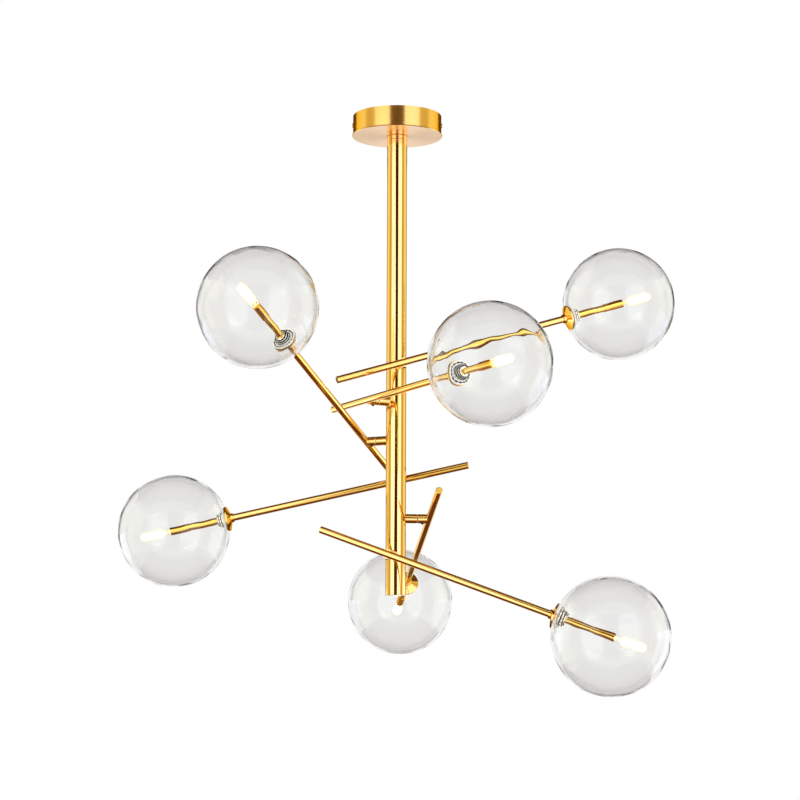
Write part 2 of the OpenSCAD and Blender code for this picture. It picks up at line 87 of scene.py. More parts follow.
class Sketch:
    def __init__(self, tree):
        self.tree = tree
        tree.nodes.clear()

    def add(self, kind, settings=None, values=None, out=0):
        node = self.tree.nodes.new(kind)
        for name, setting in (settings or {}).items():
            setattr(node, name, setting)
        for name, value in (values or {}).items():
            if isinstance(value, Socket):
                self.tree.links.new(value.socket, node.inputs[name])
            else:
                node.inputs[name].default_value = value
        return Socket(self, node.outputs[out]) if len(node.outputs) else None

    def math(self, operation, first, second):
        return self.add("ShaderNodeMath", {"operation": operation}, {0: first, 1: second})

    def mix(self, factor, first, second):
        return self.add("ShaderNodeMix", {"data_type": "RGBA"}, {0: factor, 6: first, 7: second}, 2)

    def noise(self, vector, scale, detail=2, roughness=0.5):
        values = {"Vector": vector, "Scale": scale, "Detail": detail, "Roughness": roughness}
        return self.add("ShaderNodeTexNoise", {}, values)

    # From 0 at start to 1 at end, and level beyond them
    def ramp(self, value, start, end, kind="SMOOTHSTEP"):
        values = {"Value": value, "From Min": start, "From Max": end}
        return self.add("ShaderNodeMapRange", {"interpolation_type": kind}, values)

    def bump(self, height, strength, depth):
        return self.add("ShaderNodeBump", {}, {"Height": height, "Strength": strength, "Distance": depth})

    def objectCoords(self):
        return self.add("ShaderNodeTexCoord", out="Object")

    def shader(self, values):
        return self.add("ShaderNodeBsdfPrincipled", {}, values)

    def output(self, shader):
        self.add("ShaderNodeOutputMaterial", {}, {"Surface": shader})


def newMaterial(name):
    material = bpy.data.materials.new(name)
    material.use_nodes = True
    return material, Sketch(material.node_tree)


# Object coordinates turned so that Z runs along the piece and the origin lies on its axis
def localCoords(sketch, place):
    back = place.inverted()
    return sketch.add("ShaderNodeMapping", {"vector_type": "POINT"}, {
        "Vector": sketch.objectCoords(),
        "Location": back.to_translation(),
        "Rotation": back.to_euler(),
    })


# Distance from the Z axis, and the separate coordinates
def axisDistance(sketch, local):
    apart = sketch.add("ShaderNodeSeparateXYZ", {}, {0: local}, "X")
    return (apart * apart + apart.other("Y") * apart.other("Y")) ** 0.5, apart


# Polished brass with faint drawing lines along the tube and hand marks over it
brassLook = {
    "colour": (0.92, 0.57, 0.14, 1),
    "deepColour": (0.87, 0.51, 0.11, 1),
    "roughness": 0.05,
    "smudge": 0.05,
    "smudgeScale": 34,
    "smudgeShare": 0.3,    # of the bump
    "cloudScale": 9,
    "cloudFrom": 0.35,
    "cloudTo": 0.7,
    "cloudShare": 0.5,     # of the way to the deep colour
    "lineScale": 420,
    "lineShare": 0.2,
    "lineStretch": 0.012,  # scale along the tube, as a share of the scale across it
    "lineBump": 0.0015,
    "bumpDepth": 0.0003,
}
rodLook = dict(
    brassLook,
    colour=(0.96, 0.60, 0.13, 1),
    deepColour=(0.90, 0.53, 0.10, 1),
    roughness=0.10,
)
zincLook = dict(
    brassLook,
    colour=(0.66, 0.67, 0.69, 1),
    deepColour=(0.50, 0.51, 0.54, 1),
    roughness=0.32,
    smudge=0.16,
    lineScale=260,
    lineBump=0.12,
)
blackLook = dict(zincLook, colour=(0.05, 0.05, 0.05, 1), deepColour=(0.03, 0.03, 0.03, 1))


def drawnFinish(name, place, look):
    material, sketch = newMaterial(name)
    local = localCoords(sketch, place)
    stretched = sketch.add("ShaderNodeVectorMath", {"operation": "MULTIPLY"}, {
        0: local, 1: (1, 1, look["lineStretch"]),
    })
    lines = sketch.noise(stretched, look["lineScale"])
    smudges = sketch.noise(local, look["smudgeScale"], 3)
    cloud = sketch.noise(local, look["cloudScale"])
    mask = sketch.ramp(cloud, look["cloudFrom"], look["cloudTo"], "LINEAR")
    depth = mask * look["cloudShare"] + lines * look["lineShare"]
    height = lines + smudges * look["smudgeShare"]
    sketch.output(sketch.shader({
        "Base Color": sketch.mix(depth, look["colour"], look["deepColour"]),
        "Metallic": 1.0,
        "Roughness": look["roughness"] + smudges * look["smudge"],
        "Normal": sketch.bump(height, look["lineBump"], look["bumpDepth"]),
    }))
    return material


# Brass turned on a lathe: fine rings round the axis
turnedLook = {
    "colour": (0.92, 0.55, 0.11, 1),
    "deepColour": (0.85, 0.47, 0.08, 1),
    "roughness": 0.06,
    "unevenness": 0.04,
    "smudgeScale": 30,
    "smudgeShare": 0.3,    # of the way to the deep colour
    "ringScale": 500,
    "ringShare": 0.4,
    "broadScale": 0.12,    # scale of the broad rings, as a share of the fine ones'
    "broadBump": 0.5,      # height of the broad rings, as a share of the fine ones'
    "ringBump": 0.03,
    "bumpDepth": 0.0002,
    "anisotropy": 0.2,
    "edgeTint": (0.80, 0.42, 0.12, 1),  # keeps the metal gold where it is seen edge on
}


# The numbers that a turned surface takes, from rings round its axis
def turnedValues(sketch, local, look):
    radius, apart = axisDistance(sketch, local)
    rings = sketch.add("ShaderNodeCombineXYZ", {}, {"X": radius, "Z": apart.other("Z")})
    grain = sketch.noise(rings, look["ringScale"], 2, 0.6)
    broad = sketch.noise(rings, look["ringScale"] * look["broadScale"], 1)
    smudges = sketch.noise(local, look["smudgeScale"], 3)
    depth = grain * look["ringShare"] + smudges * look["smudgeShare"]
    uneven = smudges * look["unevenness"] + broad * look["unevenness"]
    return {
        "Base Color": sketch.mix(depth, look["colour"], look["deepColour"]),
        "Metallic": 1.0,
        "Roughness": look["roughness"] + uneven,
        "Anisotropic": look["anisotropy"],
        "Specular Tint": look["edgeTint"],
        "Normal": sketch.bump(grain + broad * look["broadBump"], look["ringBump"], look["bumpDepth"]),
    }


def turnedFinish(name, place, look):
    material, sketch = newMaterial(name)
    sketch.output(sketch.shader(turnedValues(sketch, localCoords(sketch, place), look)))
    return material


# The canopy: a polished wall, and a brushed underside that spreads light into wedges
wallLook = dict(turnedLook, roughness=0.13)
undersideLook = dict(
    turnedLook,
    colour=(0.89, 0.62, 0.37, 1),
    deepColour=(0.81, 0.52, 0.28, 1),
    roughness=0.22,
    ringScale=700,
    ringBump=0.10,
    anisotropy=0.7,
    edgeTint=(1.0, 1.0, 1.0, 1),
    below=-0.0287,  # height under which the canopy is its underside
)


def canopyFinish(name, wallLook, faceLook):
    material, sketch = newMaterial(name)
    coords = sketch.objectCoords()
    wall = sketch.shader(turnedValues(sketch, coords, wallLook))
    face = sketch.shader(turnedValues(sketch, coords, faceLook))
    height = sketch.add("ShaderNodeSeparateXYZ", {}, {0: coords}, "Z")
    under = sketch.math("LESS_THAN", height, faceLook["below"])
    sketch.output(sketch.add("ShaderNodeMixShader", {}, {0: under, 1: wall, 2: face}))
    return material


# Ring nut's plating, with painted shade in the grooves between its ribs and a painted glow on the ribs,
# standing in for the lamp's light
chromeLook = dict(
    turnedLook,
    colour=(0.93, 0.92, 0.88, 1),
    deepColour=(0.80, 0.79, 0.75, 1),
    roughness=0.03,
    ringScale=600,
    ringBump=0.05,
    anisotropy=0.0,
    edgeTint=(1.0, 1.0, 1.0, 1),
    paintedGrooveShade=(0.02, 0.02, 0.016, 1),
    grooveFrom=0.1,        # heights of the wave from which the painted groove shade starts and where it is full
    grooveTo=-0.5,
    faceMargin=0.0004,     # how far inside the last rib's middle the grooves end
    # painted glow on the ribs
    paintedGlowColour=(1.0, 0.97, 0.88, 1),
    paintedGlowStrength=0.24,
)
unlit = (0, 0, 0, 1)


def ringNutFinish(name, place, look, nut):
    firstRib = arms["pivotToGlobe"] - nut["ribs"][0][1]
    pitch = nut["ribs"][0][1] - nut["ribs"][1][1]
    faceRadius = nut["ribs"][-1][0] - look["faceMargin"]
    material, sketch = newMaterial(name)
    local = localCoords(sketch, place)
    values = turnedValues(sketch, local, look)
    radius, apart = axisDistance(sketch, local)
    wave = sketch.math("COSINE", (apart.other("Z") - firstRib) * (2 * math.pi / pitch), 0)
    groove = sketch.ramp(wave, look["grooveFrom"], look["grooveTo"], "LINEAR")
    # Painted shade in the grooves, and a painted glow on the ribs between them
    paintedShade = groove * sketch.math("GREATER_THAN", radius, faceRadius)
    values["Base Color"] = sketch.mix(paintedShade, values["Base Color"], look["paintedGrooveShade"])
    values["Emission Color"] = sketch.mix(paintedShade, look["paintedGlowColour"], unlit)
    values["Emission Strength"] = look["paintedGlowStrength"]
    sketch.output(sketch.shader(values))
    return material


# Blown glass, a little wavy and darker where it is seen edge on
glassLook = {
    "clear": (0.918, 0.916, 0.903, 1),
    "edge": (0.84, 0.84, 0.83, 1),
    "edgeFrom": 0.76,
    "edgeTo": 0.97,
    "ior": 1.36,
    "mirrorTint": (1.0, 0.98, 0.66, 1),  # the boxes are bluish for the brass's sake
    "waveScale": 24,
    "wave": 0.01,
    "waveDepth": 0.004,
    "seedScale": 60,
    "seedRoughness": 0.006,
}


def glassFinish(name, look):
    material, sketch = newMaterial(name)
    coords = sketch.objectCoords()
    waves = sketch.noise(coords, look["waveScale"], 1, 0.4)
    seeds = sketch.noise(coords, look["seedScale"])
    facing = sketch.add("ShaderNodeLayerWeight", {}, {"Blend": 0.5}, "Facing")
    edge = sketch.ramp(facing, look["edgeFrom"], look["edgeTo"])
    sketch.output(sketch.shader({
        "Base Color": sketch.mix(edge, look["clear"], look["edge"]),
        "Roughness": seeds * look["seedRoughness"],
        "IOR": look["ior"],
        "Specular Tint": look["mirrorTint"],
        "Transmission Weight": 1.0,
        "Normal": sketch.bump(waves, look["wave"], look["waveDepth"]),
    }))
    return material


# Clear rubber moulded with rings and notches, with painted highlights and painted dark reflections in light
# and dark bands, and a painted glow on the light bands
siliconeLook = {
    # painted highlight and painted dark reflection colours of the bands
    "light": (0.96, 0.97, 0.95, 1),
    "paintedShade": (0.03, 0.03, 0.025, 1),
    "roughness": 0.03,
    "unevenness": 0.08,
    "cloudScale": 180,
    "cloudShare": 0.3,     # of the bump
    "ringPitch": 0.0038,
    "notches": 16,
    "notchShare": 0.5,     # strength of the notches, as a share of the rings'
    "bandFrom": -0.5,
    "bandTo": 0.1,
    "bandBump": 0.25,
    "bumpDepth": 0.0004,
    "clear": 0.2,
    "ior": 1.41,
    # painted glow on the light bands
    "paintedGlowColour": (1.0, 0.97, 0.88, 1),
    "paintedGlowStrength": 0.24,
}


def siliconeFinish(name, place, look):
    material, sketch = newMaterial(name)
    local = localCoords(sketch, place)
    radius, apart = axisDistance(sketch, local)
    cloud = sketch.noise(local, look["cloudScale"])
    rings = sketch.math("SINE", radius * (2 * math.pi / look["ringPitch"]) + cloud, 0)
    turn = sketch.math("ARCTAN2", apart.other("Y"), apart)
    notches = sketch.math("SINE", turn * look["notches"], 0)
    ribsAndPaintedBands = sketch.ramp(rings + notches * look["notchShare"], look["bandFrom"], look["bandTo"])
    sketch.output(sketch.shader({
        # Painted highlights, painted dark reflections and a painted glow follow the bands; the bump of the
        # rings is real relief
        "Base Color": sketch.mix(ribsAndPaintedBands, look["paintedShade"], look["light"]),
        "Roughness": look["roughness"] + cloud * look["unevenness"],
        "IOR": look["ior"],
        "Transmission Weight": look["clear"],
        "Emission Color": sketch.mix(ribsAndPaintedBands, unlit, look["paintedGlowColour"]),
        "Emission Strength": look["paintedGlowStrength"],
        "Normal": sketch.bump(ribsAndPaintedBands + cloud * look["cloudShare"], look["bandBump"], look["bumpDepth"]),
    }))
    return material


# Moulded plastic with a fine grain
ivoryLook = {
    "colour": (0.82, 0.79, 0.72, 1),
    "roughness": 0.42,
    "shade": 0.86,  # how bright its clouds are
    "cloudScale": 70,
    "grainScale": 900,
    "grainRoughness": 0.15,
    "grainBump": 0.12,
    "bumpDepth": 0.0003,
}
tanLook = dict(ivoryLook, colour=(0.42, 0.38, 0.30, 1), roughness=0.5)


def plasticFinish(name, look):
    material, sketch = newMaterial(name)
    coords = sketch.objectCoords()
    grain = sketch.noise(coords, look["grainScale"], 3)
    cloud = sketch.noise(coords, look["cloudScale"])
    cloudColour = tuple(channel * look["shade"] for channel in look["colour"][:3]) + (1,)
    sketch.output(sketch.shader({
        "Base Color": sketch.mix(cloud, look["colour"], cloudColour),
        "Roughness": look["roughness"] + grain * look["grainRoughness"],
        "Normal": sketch.bump(grain, look["grainBump"], look["bumpDepth"]),
    }))
    return material


# The lit lamp: a white-hot filament cloud, a foot that glows through, and warm clear glass round both
filamentGlow = {
    "colour": (1.0, 0.95, 0.80, 1),
    "dimColour": (1.0, 0.90, 0.66, 1),
    "strength": 2.6,
    "clear": 0.0,
    "tint": (0.97, 0.95, 0.88, 1),
    "ior": 1.3,
}
footGlow = {
    "colour": (1.0, 0.95, 0.72, 1),
    "dimColour": (1.0, 0.82, 0.45, 1),
    "strength": 0.42,
    "clear": 0.75,
    "tint": (0.99, 0.95, 0.80, 1),
    "ior": 1.15,
}
hazeGlow = {
    "colour": (1.0, 0.90, 0.62, 1),
    "dimColour": (1.0, 0.86, 0.54, 1),
    "strength": 0.22,
    "clear": 0.98,
    "tint": (1.0, 0.97, 0.78, 1),
    "ior": 1.03,
}
shellGlow = {
    "colour": (1.0, 0.86, 0.50, 1),
    "dimColour": (1.0, 0.80, 0.42, 1),
    "strength": 0.13,
    "clear": 0.97,
    "tint": (1.0, 0.95, 0.68, 1),
    "ior": 1.07,
}

lampPatches = {
    "scale": 160,
    "roughness": 0.03,
    "unevenness": 0.06,
    "bump": 0.05,
    "bumpDepth": 0.0005,
}


def glowFinish(name, look):
    material, sketch = newMaterial(name)
    patches = sketch.noise(sketch.objectCoords(), lampPatches["scale"], 1)
    sketch.output(sketch.shader({
        "Base Color": look["tint"],
        "Roughness": lampPatches["roughness"] + patches * lampPatches["unevenness"],
        "IOR": look["ior"],
        "Transmission Weight": look["clear"],
        "Emission Color": sketch.mix(patches, look["colour"], look["dimColour"]),
        "Emission Strength": look["strength"],
        "Normal": sketch.bump(patches, lampPatches["bump"], lampPatches["bumpDepth"]),
    }))
    return material


# Place of an arm: Z runs from its pivot to its globe
def armPlace(index):
    axis = joints[index]["axis"]
    return (Matrix.Translation(joints[index]["pos_m"])
            @ Matrix.Rotation(math.atan2(axis[1], axis[0]), 4, "Z")
            @ Matrix.Rotation(math.radians(arms["tilts"][index] - 90), 4, "X"))


# Place of a globe: from its middle, Z runs back to the pivot
def globePlace(index):
    return (armPlace(index)
            @ Matrix.Translation((0, 0, arms["pivotToGlobe"]))
            @ Matrix.Rotation(math.pi, 4, "X"))


# Points on an arc of an outline, in degrees up from level
def arc(centre, radius, fromAngle, toAngle, count):
    angles = [math.radians(fromAngle + (toAngle - fromAngle) * k / count) for k in range(count + 1)]
    return [(centre[0] + radius * math.cos(a), centre[1] + radius * math.sin(a)) for a in angles]


mergeDistance = 1e-7  # points nearer than this are one


# Closes the strip between two rings of points, or between a ring and a pole
def bridge(mesh, low, high):
    steps = max(len(low), len(high))
    for step in range(steps):
        after = (step + 1) % steps
        if len(low) == 1:
            mesh.faces.new((low[0], high[step], high[after]))
        elif len(high) == 1:
            mesh.faces.new((low[step], low[after], high[0]))
        else:
            mesh.faces.new((low[step], low[after], high[after], high[step]))


# Spins an outline of (radius, height) points round Z; a closed one is a ring's section
def turned(name, outline, steps, place, closed=False, sharp=35):
    mesh = bmesh.new()
    angles = [2 * math.pi * step / steps for step in range(steps)]
    rings = []
    for radius, height in outline:
        if radius < mergeDistance:
            spots = [(0, 0, height)]
        else:
            spots = [(radius * math.cos(a), radius * math.sin(a), height) for a in angles]
        rings.append([mesh.verts.new(spot) for spot in spots])
    for low, high in zip(rings, rings[1:]):
        bridge(mesh, low, high)
    if closed:
        bridge(mesh, rings[-1], rings[0])
    return newPiece(name, mesh, place, sharp)


# Smooth but for edges that turn by more than the sharp angle, in degrees
def newPiece(name, mesh, place, sharp=35):
    bmesh.ops.recalc_face_normals(mesh, faces=mesh.faces)
    for face in mesh.faces:
        face.smooth = True
    data = bpy.data.meshes.new(name)
    mesh.to_mesh(data)
    mesh.free()
    data.transform(place)
    data.set_sharp_from_angle(angle=math.radians(sharp))
    piece = bpy.data.objects.new(name, data)
    scene.collection.objects.link(piece)
    return piece


def dress(piece, material, body, slot, *replaced):
    piece.data.materials.clear()
    piece.data.materials.append(material)
    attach(piece, body)
    if replaced:
        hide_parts(*replaced)
    return piece


def paint(nodeName, material):
    for holder in nodes[nodeName].material_slots:
        holder.material = material


# Geometry Nodes: a tree with named inputs, run on an empty mesh and made a plain mesh
def geometryTree(name, inputs):
    tree = bpy.data.node_groups.new(name, "GeometryNodeTree")
    tree.interface.new_socket("Geometry", in_out="OUTPUT", socket_type="NodeSocketGeometry")
    for label, kind in inputs.items():
        tree.interface.new_socket(label, in_out="INPUT", socket_type=kind)
    sketch = Sketch(tree)
    entry = sketch.add("NodeGroupInput")
    return sketch, entry


def closeTree(sketch, geometry, material):
    real = sketch.add("GeometryNodeRealizeInstances", {}, {0: geometry})
    done = sketch.add("GeometryNodeSetMaterial", {}, {"Geometry": real, "Material": material})
    sketch.add("NodeGroupOutput", {}, {0: done})
    return sketch.tree


def runTree(name, tree, settings, place):
    data = bpy.data.meshes.new(name + "Seed")
    carrier = bpy.data.objects.new(name + "Seed", data)
    scene.collection.objects.link(carrier)
    modifier = carrier.modifiers.new("nodes", "NODES")
    modifier.node_group = tree
    identifiers = {item.name: item.identifier for item in tree.interface.items_tree if item.in_out == "INPUT"}
    for label, value in settings.items():
        modifier[identifiers[label]] = value
    bpy.context.view_layer.update()
    graph = bpy.context.evaluated_depsgraph_get()
    plain = bpy.data.meshes.new_from_object(carrier.evaluated_get(graph))
    bpy.data.objects.remove(carrier)
    mesh = bmesh.new()
    mesh.from_mesh(plain)
    bmesh.ops.remove_doubles(mesh, verts=mesh.verts, dist=mergeDistance)
    return newPiece(name, mesh, place)


print("materials")
stemBrass = drawnFinish("stemBrass", upright, brassLook)
canopyBrass = canopyFinish("canopyBrass", wallLook, undersideLook)
zinc = drawnFinish("zincPlate", upright, zincLook)
glass = glassFinish("globeGlass", glassLook)
ivory = plasticFinish("ivoryPlastic", ivoryLook)
washerTan = plasticFinish("washerPlastic", tanLook)
filament = glowFinish("lampFilament", filamentGlow)
footGlass = glowFinish("lampFootGlass", footGlow)
shellGlass = glowFinish("lampShellGlass", shellGlow)
hazeGlass = glowFinish("hazeGlass", hazeGlow)
blackSteel = drawnFinish("blackSteel", upright, blackLook)

for name in ("stem", "stem_collar", "stem_end_cap", "pivot_bosses", "canopy_screws"):
    paint(name, stemBrass)
for name in ("ceiling_bracket", "stem_nipple", "nipple_nut", "pivot_pins"):
    paint(name, zinc)
paint("canopy", canopyBrass)
paint("terminal_block", ivory)
paint("pivot_washers", washerTan)

# Globe: both walls and the rolled rim round its hole
globeSizes = {
    "radius": 0.080,
    "wall": 0.003,
    "rimRadius": 0.01365,    # from the hole's axis to the middle of the rolled rim
    "rimBead": 0.0016,
    "rimSteps": 12,
    "rimRoll": (60, 264),    # degrees through which the bead rolls over, from the outer wall to the inner
    "rimGap": 1.5,           # degrees between the walls' ends and the rim's middle
    "arcSteps": 72,
    "steps": 128,
    "ripple": 0.00028,       # how far the inner wall swells or thins
    "rippleScale": 4.6,
    "rippleShift": 7.3,      # from one globe's ripples to the next one's
    "rimClear": 14,          # degrees round the hole's axis that stay even
    "rimFade": 15,           # degrees over which the ripples grow from there
}


def globeOutline(sizes):
    outer = sizes["radius"]
    middle = outer - sizes["wall"] / 2
    rimAngle = math.asin(sizes["rimRadius"] / middle)
    rimCentre = (middle * math.sin(rimAngle), middle * math.cos(rimAngle))
    wallEnd = 90 - (math.degrees(rimAngle) + sizes["rimGap"])
    outline = arc((0, 0), outer, -90, wallEnd, sizes["arcSteps"])
    outline += arc(rimCentre, sizes["rimBead"], *sizes["rimRoll"], sizes["rimSteps"])
    return outline + arc((0, 0), outer - sizes["wall"], wallEnd, -90, sizes["arcSteps"])


# Uneven blown glass: the inner wall swells and thins, least near the hole
def rippleInside(piece, place, sizes, seed):
    middle = place.to_translation()
    axis = (place.to_3x3() @ Vector((0, 0, 1))).normalized()
    middleOfWall = sizes["radius"] - sizes["wall"] / 2
    shift = Vector((seed * sizes["rippleShift"], 0, 0))
    for vertex in piece.data.vertices:
        outward = vertex.co - middle
        if outward.length > middleOfWall:
            continue
        spot = outward.normalized()
        clear = math.degrees(spot.angle(axis)) - sizes["rimClear"]
        swell = noise.noise(spot * sizes["rippleScale"] + shift)
        vertex.co += spot * swell * sizes["ripple"] * min(1, max(0, clear / sizes["rimFade"]))


def addGlobe(number, body, place):
    globe = turned("globeGlass%d" % number, globeOutline(globeSizes), globeSizes["steps"], place)
    rippleInside(globe, place, globeSizes, number)
    dress(globe, glass, body, "globe_glass", "globe_%d" % number)
    globe.visible_shadow = False


# Ring nut: a flange and a stack of rounded ribs, a bead on its end face, and knurls round its second rib
ringNut = {
    "bore": 0.00506,
    "flangeRadius": 0.0104,
    "flangeTop": 0.0737,     # heights from the globe's middle
    "ribs": [(0.0101, 0.0719), (0.0090, 0.0688), (0.0078, 0.0657)],  # each rib's middle
    "ribRadius": 0.00165,
    "ribSpan": 75,           # degrees to which a rib rounds over, up and down
    "ribSteps": 10,
    "faceHeight": 0.0643,
    "faceInset": 0.0001,
    "bead": 0.0066,          # from the axis to its middle
    "beadRadius": 0.0008,
    "beadSteps": 8,
    "steps": 72,
    "knurls": 16,
    "knurlWidth": 0.0020,
    "knurlRadius": 0.0098,
    "knurlFrom": 0.0678,
    "knurlTo": 0.0698,
}


def ringNutOutline(nut):
    outline = [(nut["bore"], nut["flangeTop"]), (nut["flangeRadius"], nut["flangeTop"])]
    for rib in nut["ribs"]:
        outline += arc(rib, nut["ribRadius"], nut["ribSpan"], -nut["ribSpan"], nut["ribSteps"])
    outline.append((nut["ribs"][-1][0] - nut["faceInset"], nut["faceHeight"]))
    outline += arc((nut["bead"], nut["faceHeight"]), nut["beadRadius"], 0, -180, nut["beadSteps"])
    return outline + [(nut["bore"], nut["faceHeight"])]


# Square bars in a ring, each with an edge outwards
def knurlTree(material):
    sketch, entry = geometryTree("knurls", {
        "Count": "NodeSocketInt",
        "Radius": "NodeSocketFloat",
        "Width": "NodeSocketFloat",
        "Length": "NodeSocketFloat",
    })
    circle = sketch.add("GeometryNodeCurvePrimitiveCircle", {"mode": "RADIUS"}, {
        "Resolution": entry.other("Count"), "Radius": entry.other("Radius"),
    })
    points = sketch.add("GeometryNodeCurveToPoints", {"mode": "EVALUATED"}, {"Curve": circle})
    size = sketch.add("ShaderNodeCombineXYZ", {}, {
        "X": entry.other("Width"), "Y": entry.other("Width"), "Z": entry.other("Length"),
    })
    ridge = sketch.add("GeometryNodeMeshCube", {}, {"Size": size})
    aim = sketch.add("FunctionNodeAlignRotationToVector", {"axis": "X"}, {
        "Vector": sketch.add("GeometryNodeInputPosition"),
    })
    edgeOut = sketch.add("FunctionNodeRotateRotation", {"rotation_space": "LOCAL"}, {
        "Rotation": aim, "Rotate By": (0, 0, math.radians(45)),
    })
    ridges = sketch.add("GeometryNodeInstanceOnPoints", {}, {
        "Points": points, "Instance": ridge, "Rotation": edgeOut,
    })
    return closeTree(sketch, ridges, material)


def addRingNut(number, body, place, chrome):
    outline = ringNutOutline(ringNut)
    nut = turned("ringNut%d" % number, outline, ringNut["steps"], place, closed=True, sharp=55)
    dress(nut, chrome, body, "nut_chrome", "ring_nut_%d" % number)
    middle = (ringNut["knurlFrom"] + ringNut["knurlTo"]) / 2
    knurls = runTree("ringNutKnurls%d" % number, knurlTree(chrome), {
        "Count": ringNut["knurls"],
        "Radius": ringNut["knurlRadius"],
        "Width": ringNut["knurlWidth"],
        "Length": ringNut["knurlTo"] - ringNut["knurlFrom"],
    }, place @ Matrix.Translation((0, 0, middle)))
    dress(knurls, chrome, body, "nut_chrome")


# Lamp: clear body and foot, the light inside, and two gold contacts. Heights are from the globe's middle
lamp = {
    "steps": 40,
    "top": -0.0152,          # where the round body meets its flat foot
    "tip": -0.0500,
    # Capsules inside one another: radius, and how far they end before the top and the tip
    "body": (0.0070, 0, 0),
    "light": (0.0044, 0.0020, 0.0012),
    "haze": (0.0057, 0.0010, 0.0006),
    "tipSteps": 10,
    "shoulder": [(1, 0.35), (0.86, 0.08), (0.6, 0)],  # out from the axis and down from the top, in radii
    "foot": (0.0105, 0.0045, 0.0098),  # width, depth and height
    "footMiddle": -0.0101,
    "footBevel": 0.0008,
    "turns": [0, -108, -43, 0, 0, 0],  # degrees by which each lamp's flat foot is turned in its holder
    "contactRadius": 0.0011,
    "contactApart": 0.0062,
    "contactHeight": -0.0098,
    "contactOut": 0.0006,    # how far they stand out of the foot
    "contactSteps": 16,
    "contactTipSteps": 4,
}


def capsule(radius, top, tip, tipSteps):
    shoulder = [(radius * out, top - radius * down) for out, down in lamp["shoulder"]]
    return arc((0, tip + radius), radius, -90, 0, tipSteps) + shoulder + [(0, top)]


def lampCapsule(name, sizes, place):
    radius, beforeTop, beforeTip = sizes
    outline = capsule(radius, lamp["top"] - beforeTop, lamp["tip"] + beforeTip, lamp["tipSteps"])
    return turned(name, outline, lamp["steps"], place)


def lampFoot(name, place):
    mesh = bmesh.new()
    bmesh.ops.create_cube(mesh, size=1)
    bmesh.ops.scale(mesh, vec=lamp["foot"], verts=mesh.verts)
    bevel = {"offset": lamp["footBevel"], "segments": 3, "affect": "EDGES", "profile": 0.5}
    bmesh.ops.bevel(mesh, geom=mesh.edges[:], **bevel)
    bmesh.ops.translate(mesh, vec=(0, 0, lamp["footMiddle"]), verts=mesh.verts)
    return newPiece(name, mesh, place, sharp=50)


def joined(name, pieces):
    mesh = bmesh.new()
    for piece in pieces:
        mesh.from_mesh(piece.data)
        bpy.data.objects.remove(piece)
    return newPiece(name, mesh, upright)


def addLamp(number, body, place, turn, brass):
    clearBody = lampCapsule("lampBody%d" % number, lamp["body"], place)
    dress(clearBody, shellGlass, body, "bulb_glass", "bulb_%d" % number)
    light = lampCapsule("lampLight%d" % number, lamp["light"], place)
    dress(light, filament, body, "bulb_glass")
    haze = lampCapsule("lampHaze%d" % number, lamp["haze"], place)
    dress(haze, hazeGlass, body, "bulb_glass")
    turnedPlace = place @ Matrix.Rotation(math.radians(turn), 4, "Z")
    foot = lampFoot("lampFoot%d" % number, turnedPlace)
    dress(foot, footGlass, body, "bulb_glass")
    for clear in (clearBody, haze, foot):
        clear.visible_shadow = False
    half = lamp["foot"][1] / 2 + lamp["contactOut"]
    outline = capsule(lamp["contactRadius"], half, -half, lamp["contactTipSteps"])
    contacts = []
    for side in (-1, 1):
        across = (Matrix.Translation((side * lamp["contactApart"] / 2, 0, lamp["contactHeight"]))
                  @ Matrix.Rotation(math.pi / 2, 4, "X"))
        contacts.append(turned("contact", outline, lamp["contactSteps"], turnedPlace @ across))
    dress(joined("lampContacts%d" % number, contacts), brass, body, "brass")


# Set screw in the swivel's hole, with its hexagon socket
setScrew = {
    "radius": 0.00195,
    "socket": 0.0010,
    "socketFloor": 0.3,      # height of the socket's floor, as a share of the screw's length
    "from": 0.0033,
    "to": 0.0078,
    "along": -0.0099,        # place on the swivel, from the rod's centre line towards the stem
    "steps": 24,
}


def addSetScrew(number, body, alongArm):
    mesh = bmesh.new()
    steps = setScrew["steps"]
    depth = setScrew["to"] - setScrew["from"]
    levels = [
        (setScrew["radius"], 0, False),
        (setScrew["radius"], depth, False),
        (setScrew["socket"], depth, True),
        (setScrew["socket"], depth * setScrew["socketFloor"], True),
    ]
    rings = []
    for radius, height, hexagon in levels:
        ring = []
        for step in range(steps):
            angle = 2 * math.pi * step / steps
            reach = radius
            if hexagon:
                reach = radius / math.cos((angle % (math.pi / 3)) - math.pi / 6)
            ring.append(mesh.verts.new((reach * math.cos(angle), reach * math.sin(angle), height)))
        rings.append(ring)
    for low, high in zip(rings, rings[1:]):
        bridge(mesh, low, high)
    mesh.faces.new(list(reversed(rings[0])))
    mesh.faces.new(rings[-1])
    seat = (alongArm
            @ Matrix.Translation((setScrew["along"], 0, 0))
            @ Matrix.Rotation(math.radians(-90), 4, "X")
            @ Matrix.Translation((0, 0, setScrew["from"])))
    screw = newPiece("setScrew%d" % number, mesh, seat, sharp=30)
    dress(screw, blackSteel, body, "bracket_steel")


